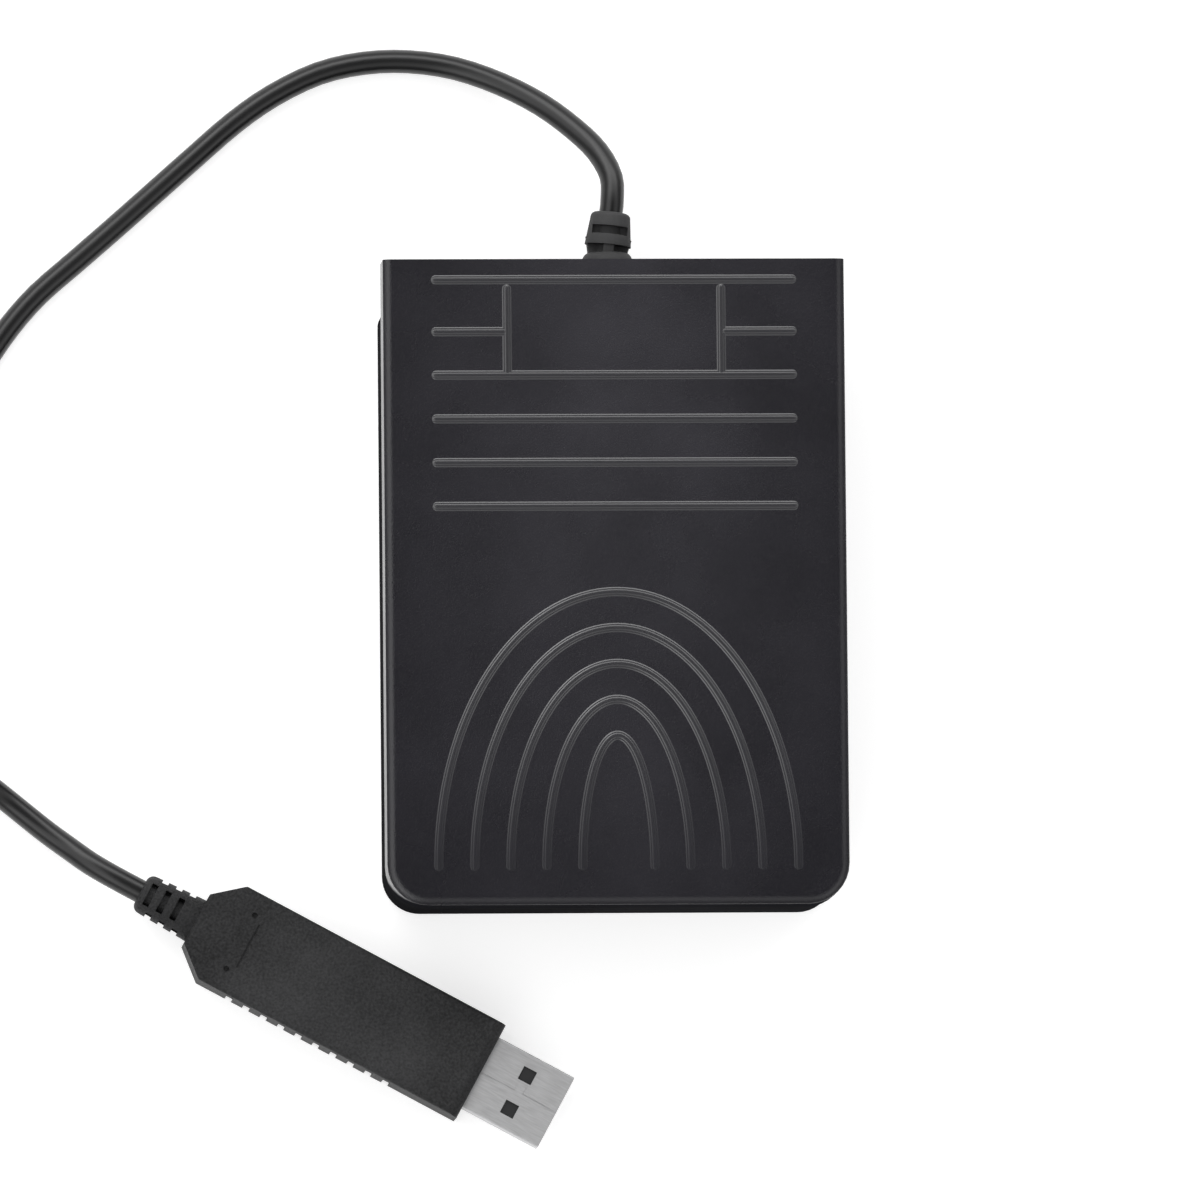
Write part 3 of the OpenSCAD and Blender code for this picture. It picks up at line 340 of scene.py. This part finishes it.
def set_inputs(tree, node, inputs):
    """Sets inputs of a node, by name or number, to plain values or to outputs of other nodes."""
    for key, value in inputs.items():
        if isinstance(value, bpy.types.NodeSocket):
            tree.links.new(value, node.inputs[key])
        else:
            node.inputs[key].default_value = value


def add_node(tree, kind, inputs, **settings):
    """New node of a kind, with its settings and inputs."""
    node = tree.nodes.new("ShaderNode" + kind)
    for name, value in settings.items():
        setattr(node, name, value)
    set_inputs(tree, node, inputs)
    return node


def add_place(tree):
    """Place on the object, in its own coordinates."""
    return add_node(tree, "TexCoord", {}).outputs["Object"]


def add_noise(tree, place, scale, detail):
    """Noise with values from 0 to 1."""
    node = add_node(tree, "TexNoise", {"Vector": place, "Scale": scale, "Detail": detail})
    return node.outputs["Fac"]


def add_math(tree, operation, *values):
    """Number worked out from others."""
    return add_node(tree, "Math", dict(enumerate(values)), operation=operation).outputs["Value"]


def add_range(tree, value, source, target, smooth=False):
    """Maps a value from one range to another, and holds it inside the second."""
    node = add_node(tree, "MapRange", {
        "Value": value,
        "From Min": source[0],
        "From Max": source[1],
        "To Min": target[0],
        "To Max": target[1],
    }, interpolation_type="SMOOTHSTEP" if smooth else "LINEAR")
    return node.outputs["Result"]


def add_tone(tree, noise, colour, vary):
    """Colour that goes with a noise from a darker to a lighter tone of it."""
    node = add_node(tree, "Mix", {
        "Factor": add_range(tree, noise, TONE_RANGE, (0, 1)),
        "A": (*[c * (1 - vary) for c in colour], 1),
        "B": (*[c * (1 + vary) for c in colour], 1),
    }, data_type="RGBA")
    return node.outputs["Result"]


def new_material(name):
    """New material, with its nodes and its shader."""
    material = bpy.data.materials.new(name)
    material.use_nodes = True
    return material, material.node_tree, material.node_tree.nodes["Principled BSDF"]


def moulded(name, colour, roughness, grain_mm, grain_depth, mottle=0.1, specular=0.5, painted_sheen=None):
    """Moulded plastic: a fine eroded grain, and a slow change of gloss and colour over the surface.

    A lighter colour is added in the middle of the tread as painted sheen, for reflected light, and fades
    out towards its edges.
    """
    material, tree, shader = new_material(name)
    place = add_place(tree)
    grain = add_noise(tree, place, 1 / (grain_mm * MM), GRAIN_DETAIL)
    slow = add_noise(tree, place, SLOW_SCALE, SLOW_DETAIL)
    blotches = add_node(tree, "Mix", {"Factor": GRAIN_SHARE, "A": slow, "B": grain}).outputs["Result"]
    tone = add_tone(tree, blotches, colour, mottle)
    # Painted sheen: a lighter colour added in a soft patch, standing in for reflected light
    if painted_sheen:
        tone = add_node(
            tree, "Mix", {"Factor": painted_sheen_mask(tree, place, slow), "A": tone, "B": (*painted_sheen, 1)},
            data_type="RGBA", blend_type="ADD",
        ).outputs["Result"]
    bump = add_node(tree, "Bump", {"Strength": 1, "Distance": grain_depth * MM, "Height": grain})
    set_inputs(tree, shader, {
        "Base Color": tone,
        "Roughness": add_range(tree, slow, (0, 1), (roughness - GLOSS_SPREAD, roughness + GLOSS_SPREAD)),
        "Specular IOR Level": specular,
        "Normal": bump.outputs["Normal"],
    })
    return material


def painted_sheen_mask(tree, place, slow):
    """Soft round patch of painted sheen in the middle of the tread, broken up by the slow noise."""
    spread = add_node(tree, "Mapping", {
        "Vector": place,
        "Location": (0, SHEEN_Y * MM, TREAD_Z * MM),
        "Scale": (SHEEN_X_REACH * MM, SHEEN_Y_REACH * MM, 1),
    }, vector_type="TEXTURE")
    patch = add_node(
        tree, "TexGradient", {"Vector": spread.outputs["Vector"]}, gradient_type="SPHERICAL",
    )
    share = add_range(tree, slow, SHEEN_RANGE, (SHEEN_LEAST, 1))
    return add_math(tree, "MULTIPLY", patch.outputs["Fac"], share)


def add_coat(material, weight, ior):
    """Clear gloss on a material, as strong as the weight."""
    tree = material.node_tree
    set_inputs(tree, tree.nodes["Principled BSDF"], {
        "Coat Weight": weight,
        "Coat Roughness": COAT_ROUGHNESS,
        "Coat IOR": ior,
    })


def coat_ribs(material):
    """Gloss that fades towards the toe end of the tread, as painted shade for the light that falls off
    there.
    """
    tree = material.node_tree
    along = add_node(tree, "SeparateXYZ", {"Vector": add_place(tree)}).outputs["Y"]
    # Painted shade: the ribs' gloss fades towards the toe end
    fade = add_range(tree, along, (RIB_SHADE_START * MM, RIB_SHADE_END * MM), (1, RIB_SHADE_SHARE))
    add_coat(material, fade, RIB_COAT_IOR)


def coat_toe(material):
    """Gloss on the toe skirt that fades with the distance from the cuts at its two corners, into the
    painted shade of its matt copy of the plastic.

    Both corners are mirrored to where all coordinates are positive, and one cut with them.
    """
    tree = material.node_tree
    on_cut, normal = toe_cuts()[1]
    mirror = Vector((1, -1, 1))
    corner = add_node(tree, "VectorMath", {0: add_place(tree)}, operation="ABSOLUTE")
    offset = add_node(
        tree, "VectorMath", {0: corner.outputs["Vector"], 1: on_cut * mirror}, operation="SUBTRACT",
    )
    past = add_node(
        tree, "VectorMath", {0: offset.outputs["Vector"], 1: (normal * mirror).normalized()},
        operation="DOT_PRODUCT",
    )
    fade = add_range(tree, past.outputs["Value"], (0, TOE_FADE * MM), (1, 0), smooth=True)
    add_coat(material, fade, TOE_COAT_IOR)


def metal(name, colour, roughness, streak_mm=0.4, vary=0.1):
    """Rolled or drawn metal: fine streaks the way the plug lies, in its gloss and colour."""
    material, tree, shader = new_material(name)
    stretch = add_node(tree, "Mapping", {
        "Vector": add_place(tree),
        "Rotation": (0, 0, PLUG_TURN),
        "Scale": (STREAK_STRETCH, 1, 1),
    }, vector_type="TEXTURE")
    streaks = add_noise(tree, stretch.outputs["Vector"], 1 / (streak_mm * MM), STREAK_DETAIL)
    gloss = (roughness * (1 - METAL_SPREAD), roughness * (1 + METAL_SPREAD))
    set_inputs(tree, shader, {
        "Base Color": add_tone(tree, streaks, colour, vary),
        "Roughness": add_range(tree, streaks, (0, 1), gloss),
        "Metallic": 1,
    })
    return material


def new_piece(name, mesh, body, material):
    """Mesh as a piece that rides on a body."""
    mesh.materials.clear()
    mesh.materials.append(material)
    piece = bpy.data.objects.new(name, mesh)
    bpy.context.collection.objects.link(piece)
    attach(piece, body)
    return piece


def weld(form):
    """Joins corners that are in one place."""
    bmesh.ops.remove_doubles(form, verts=form.verts, dist=WELD * MM)


def clean_copy(node):
    """A solid's mesh with its seams welded."""
    form = bmesh.new()
    form.from_mesh(nodes[node].data)
    weld(form)
    return form


def merge_flats(form):
    """Joins the triangles of each flat face."""
    bmesh.ops.dissolve_limit(
        form, angle_limit=FLAT_TURN, use_dissolve_boundaries=False, verts=form.verts, edges=form.edges,
    )


def is_sharp(edge, limit=SHARP_TURN):
    """Tells whether the two faces of an edge turn by more than the limit."""
    return len(edge.link_faces) == 2 and edge.calc_face_angle(0) > limit


def round_edges(form, edges, width, steps):
    """Rounds edges by a width in millimetres, or by less where there is no room for it."""
    bmesh.ops.bevel(
        form, geom=edges, offset=width * MM, offset_type="OFFSET", segments=steps,
        profile=ROUND_PROFILE, affect="EDGES", clamp_overlap=True,
    )


def finish_mesh(form, name, limit=SHARP_TURN):
    """Mesh with smooth curved faces, and crisp edges where they turn by more than the limit."""
    for face in form.faces:
        face.smooth = True
    for edge in form.edges:
        edge.smooth = not is_sharp(edge, limit)
    mesh = bpy.data.meshes.new(name)
    form.to_mesh(mesh)
    form.free()
    return mesh


def even_shading(piece):
    """Keeps large faces flat, so that only their rounded edges shade."""
    shading = piece.modifiers.new("even_shading", "WEIGHTED_NORMAL")
    shading.keep_sharp = True


def dress(node, body, material, width, pick):
    """Copy of a solid in place of it, with the sharp edges that are picked rounded by a width."""
    form = clean_copy(node)
    merge_flats(form)
    round_edges(form, [e for e in form.edges if is_sharp(e) and pick(e)], width, ROUND_STEPS)
    weld(form)
    bmesh.ops.dissolve_degenerate(form, edges=form.edges, dist=WELD * MM)
    piece = new_piece(node + "_dressed", finish_mesh(form, node), body, material)
    even_shading(piece)
    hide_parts(node)
    return piece


def any_edge(edge):
    """Picks every edge."""
    return True


def outer_edge(edge):
    """Picks an edge whose two faces turn outwards from it."""
    return edge.is_convex


def long_edge(least_mm):
    """Picks edges of at least that length."""
    def pick(edge):
        return edge.calc_length() >= least_mm * MM
    return pick


def long_outer_edge(least_mm, above_mm=0):
    """Picks outer edges of at least that length that lie above that height."""
    def pick(edge):
        low = min(v.co.z for v in edge.verts)
        return edge.is_convex and low >= above_mm * MM and edge.calc_length() >= least_mm * MM
    return pick


def toe_cuts():
    """Slanted planes round the two toe corners, each with a place on it and its normal towards the toe end.

    Each rises from the skirt's lower edge, where the corner starts, to the band half way round it.
    """
    cuts = []
    half_way = TOE_R * (1 - math.sqrt(0.5))
    for side in (-1, 1):
        low = Vector((side * HALF_W, TOE_Y + TOE_R, SKIRT_Z))
        high = Vector((side * (HALF_W - half_way), TOE_Y + half_way, BAND_Z))
        normal = (high - low).cross(Vector((side, -TOE_CUT_RUN, 0)))
        cuts.append((low * MM, normal * math.copysign(1, -normal.y)))
    return cuts


def make_tread(material, toe_shade_material):
    """Tread without its ribs, which are a piece of their own. The skirt of its toe end gets a matt copy of
    the plastic, as painted shade.
    """
    form = clean_copy("pedal_cover")
    for vert in form.verts:
        vert.co.z = min(vert.co.z, TREAD_Z * MM)
    weld(form)
    bmesh.ops.dissolve_degenerate(form, edges=form.edges, dist=FINE * MM)
    merge_flats(form)
    corner = [
        e for e in form.edges
        if is_sharp(e) and all(abs(v.co.z - BAND_Z * MM) < BAND_ROOM * MM for v in e.verts)
    ]
    round_edges(form, corner, BAND_BREAK, BAND_STEPS)
    cuts = toe_cuts()
    for place, normal in cuts:
        faces = [
            f for f in form.faces if abs(f.normal.z) < TOE_FACE_UP and f.normal.y < TOE_FACE_Y
        ]
        edges = list(dict.fromkeys(e for f in faces for e in f.edges))
        verts = list(dict.fromkeys(v for f in faces for v in f.verts))
        bmesh.ops.bisect_plane(
            form, geom=faces + edges + verts, dist=FINE * MM, plane_co=place, plane_no=normal,
        )
    piece = new_piece("tread", finish_mesh(form, "tread"), "pedal", material)
    # The toe skirt gets the matt copy of the plastic: painted shade
    piece.data.materials.append(toe_shade_material)
    for polygon in piece.data.polygons:
        past = all((polygon.center - place).dot(normal) > 0 for place, normal in cuts)
        if past and polygon.normal.z < TOE_FACE_UP and polygon.normal.y < TOE_FACE_Y:
            polygon.material_index = 1
    even_shading(piece)
    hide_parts("pedal_cover")


def make_spring(material):
    """Return spring on the base, with a mesh of its own. The real spring shortens towards its foot when the
    tread is pressed.
    """
    mesh = finish_mesh(clean_copy("return_spring"), "spring_coil", SPRING_SHARP_TURN)
    piece = new_piece("spring_coil", mesh, "base", material)
    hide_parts("return_spring")
    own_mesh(piece)


def rib_paths():
    """Middle lines of the tread's ribs, seen from above."""
    paths = []
    rows = [RIB_TOP] + [RIB_LOW - i * RIB_PITCH for i in range(RIB_ROWS)]
    for y in rows:
        paths.append([(-RIB_REACH, y), (RIB_REACH, y)])
    for side in (-1, 1):
        x = side * WINDOW_REACH
        y = RIB_LOW + SIDE_RIB_RISE
        paths.append([(x, RIB_LOW + RIB_W / 2), (x, RIB_TOP - RIB_W)])
        paths.append([(x + side * RIB_W / 2, y), (side * RIB_REACH, y)])
    angles = [math.pi * k / ARCH_SIDES for k in range(ARCH_SIDES + 1)]
    for i in range(ARCH_COUNT):
        reach = ARCH_REACH + i * ARCH_STEP
        rise = ARCH_RISE + i * ARCH_STEP
        paths.append([(reach * math.cos(a), ARCH_Y + rise * math.sin(a)) for a in angles])
    return [[Vector(p) for p in path] for path in paths]


def add_rib(form, path):
    """Ridge along a path: two stepped slopes that meet in a narrow crest, with round ends."""
    half = RIB_W / 2
    stations = []
    start = (path[1] - path[0]).normalized()
    end = (path[-1] - path[-2]).normalized()
    for k in range(RIB_END_STEPS):
        a = math.pi / 2 * (1 - k / RIB_END_STEPS)
        stations.append((path[0] - start * half * math.sin(a), start, math.cos(a)))
    for i, place in enumerate(path):
        along = (path[min(i + 1, len(path) - 1)] - path[max(i - 1, 0)]).normalized()
        stations.append((place, along, 1))
    for k in range(1, RIB_END_STEPS + 1):
        a = math.pi / 2 * k / RIB_END_STEPS
        stations.append((path[-1] + end * half * math.sin(a), end, math.cos(a)))
    slope = [(1, -RIB_SINK / RIB_H)] + list(RIB_SLOPE)
    section = slope + [(-across, rise) for across, rise in reversed(slope[:-1])]
    rings = []
    for place, along, share in stations:
        side = Vector((-along.y, along.x)) * half * max(share, RIB_TIP_SHARE)
        ring = []
        for across, rise in section:
            spot = place + side * across
            height = TREAD_Z + RIB_H * rise * (share if rise > 0 else 1)
            ring.append(form.verts.new((spot.x * MM, spot.y * MM, height * MM)))
        rings.append(ring)
    count = len(section)
    for one, two in zip(rings, rings[1:]):
        for k in range(count):
            n = (k + 1) % count
            form.faces.new((one[k], two[k], two[n], one[n]))
    form.faces.new(rings[0])
    form.faces.new(list(reversed(rings[-1])))


def make_ribs(material):
    """All ribs of the tread."""
    form = bmesh.new()
    for path in rib_paths():
        add_rib(form, path)
    bmesh.ops.recalc_face_normals(form, faces=form.faces)
    mesh = finish_mesh(form, "tread_ribs", RIB_SHARP_TURN)
    new_piece("tread_ribs", mesh, "pedal", material)


def make_floor():
    """White table. It is brighter to the camera, so that it is white but keeps its shadow."""
    material, tree, shader = new_material("table")
    ray = add_node(tree, "LightPath", {})
    seen = add_math(tree, "MAXIMUM", ray.outputs["Is Camera Ray"], ray.outputs["Is Glossy Ray"])
    set_inputs(tree, shader, {
        "Base Color": (FLOOR_COLOUR, FLOOR_COLOUR, FLOOR_COLOUR, 1),
        "Roughness": FLOOR_ROUGHNESS,
        "Specular IOR Level": 0,
        "Emission Color": WHITE,
        "Emission Strength": add_math(tree, "MULTIPLY", seen, FLOOR_GLOW),
    })
    form = bmesh.new()
    bmesh.ops.create_grid(form, x_segments=1, y_segments=1, size=FLOOR_HALF)
    floor = bpy.data.objects.new("table", finish_mesh(form, "table"))
    floor.data.materials.append(material)
    floor.location.z = -FLOOR_DROP * MM
    bpy.context.collection.objects.link(floor)


def make_lights():
    """Soft light from the four sides, strongest from the cord end and then from the left."""
    world = bpy.data.worlds.new("studio")
    world.use_nodes = True
    tree = world.node_tree
    direction = add_node(tree, "TexCoord", {}).outputs["Generated"]
    split = add_node(tree, "SeparateXYZ", {"Vector": direction})
    fade = add_range(tree, split.outputs["Z"], (FADE_START, FADE_END), (1, FADE_SHARE))
    total = LIGHT_LEVEL
    for axis, start, full, strength in LIGHT_LOBES:
        lobe = add_range(tree, split.outputs[axis], (start, full), (0, strength), smooth=True)
        total = add_math(tree, "MULTIPLY_ADD", lobe, fade, total)
    set_inputs(tree, tree.nodes["Background"], {"Color": WHITE, "Strength": total})
    bpy.context.scene.world = world


bpy.context.scene.view_settings.view_transform = "Standard"
make_camera()

# Each plastic has a colour, a roughness, and the size and depth of its grain in millimetres
# The lighter colour added to the tread is painted sheen, strongest in its middle
tread_plastic = moulded(
    "tread_plastic", (0.0016, 0.0009, 0.0045), 0.28, 0.25, 0.045,
    mottle=0.3, specular=0.66, painted_sheen=(0.022, 0.0214, 0.0238),
)
rib_plastic = moulded(
    "rib_plastic", (0.008, 0.0074, 0.0115), 0.45, 0.25, 0.004, mottle=0.2, specular=0.3,
)
coat_ribs(rib_plastic)
# The toe skirt's matt copy of the tread plastic, without its gloss, is painted shade, darker than the
# glossy side skirts
toe_shade_plastic = moulded("toe_shade_plastic", (0.02, 0.02, 0.023), 0.6, 0.25, 0.03, mottle=0.3, specular=0)
coat_toe(toe_shade_plastic)
base_plastic = moulded("base_plastic", (0.024, 0.024, 0.026), 0.6, 0.3, 0.05, mottle=0.3, specular=0)
cord_plastic = moulded("cord_plastic", (0.006, 0.006, 0.0063), 0.3, 0.5, 0.006)
boot_plastic = moulded("boot_plastic", (0.062, 0.062, 0.063), 0.6, 0.3, 0.01, specular=0.12)
plug_plastic = moulded("plug_plastic", (0.03, 0.03, 0.031), 0.55, 0.4, 0.2, mottle=0.7, specular=0.15)
rubber = moulded("rubber", (0.012, 0.012, 0.012), 0.8, 0.4, 0.02)
tie_plastic = moulded("tie_plastic", (0.012, 0.012, 0.012), 0.5, 0.5, 0.01)
switch_plastic = moulded("switch_plastic", (0.01, 0.01, 0.011), 0.35, 0.3, 0.004)
plunger_plastic = moulded("plunger_plastic", (0.45, 0.02, 0.015), 0.35, 0.3, 0.004)
wire_plastic = moulded("wire_plastic", (0.4, 0.015, 0.015), 0.45, 0.4, 0.004)
# The insulator's colour is darkened, as painted shade for the shallow holes in the plug's top where it
# shows
insulator_plastic = moulded("insulator_plastic", (0.014, 0.014, 0.015), 0.4, 0.3, 0.004)
board_laminate = moulded("board_laminate", (0.015, 0.1, 0.05), 0.4, 0.6, 0.006)
chip_plastic = moulded("chip_plastic", (0.01, 0.01, 0.01), 0.6, 0.15, 0.006)
board_ceramic = moulded("board_ceramic", (0.4, 0.33, 0.22), 0.45, 0.3, 0.004)
# Each metal has a colour and a roughness
pin_steel = metal("pin_steel", (0.55, 0.55, 0.56), 0.3)
spring_steel = metal("spring_steel", (0.5, 0.5, 0.52), 0.3)
shell_steel = metal("shell_steel", (0.55, 0.55, 0.555), 0.45, streak_mm=0.25, vary=0.08)
contact_brass = metal("contact_brass", (0.75, 0.55, 0.25), 0.25)

cord, cord_exit, cord_length = make_cord(cord_plastic)
plug_top_edge = long_outer_edge(PLUG_EDGE_L, PLUG_H - PLUG_EDGE_DOWN)
# Each dressed piece has its node, body and material, how far edges are rounded, and which ones
cord_pieces = [
    dress("plug_boot", "base", plug_plastic, 0.12, outer_edge),
    dress("plug_housing", "base", plug_plastic, 0.6, plug_top_edge),
    dress("usb_shell", "base", shell_steel, 0.25, long_outer_edge(PLUG_EDGE_L)),
    dress("strain_relief", "base", boot_plastic, 0.12, outer_edge),
    dress("coil_tie", "base", tie_plastic, 0.15, any_edge),
]

make_tread(tread_plastic, toe_shade_plastic)
make_ribs(rib_plastic)
make_spring(spring_steel)
dress("base_tray", "base", base_plastic, 0.3, long_edge(BASE_EDGE_L))
dress("hinge_pins", "base", pin_steel, 0.2, any_edge)
dress("rubber_feet", "base", rubber, 0.4, any_edge)

finishes = {
    "stop_bumpers": rubber,
    "switch_case": switch_plastic,
    "switch_lid": switch_plastic,
    "switch_plunger": plunger_plastic,
    "switch_lever": spring_steel,
    "switch_blade": contact_brass,
    "switch_terminals": contact_brass,
    "switch_screws": pin_steel,
    "switch_wires": wire_plastic,
    "cable_tail": cord_plastic,
    "cable_clamp": base_plastic,
    "clamp_screws": pin_steel,
    "usb_insulator": insulator_plastic,
    "usb_contacts": contact_brass,
    "controller_board": board_laminate,
    "controller_chip": chip_plastic,
    "board_parts": board_ceramic,
    "plug_leads": wire_plastic,
}
for name, finish in finishes.items():
    nodes[name].data.materials.clear()
    nodes[name].data.materials.append(finish)

make_floor()
make_lights()
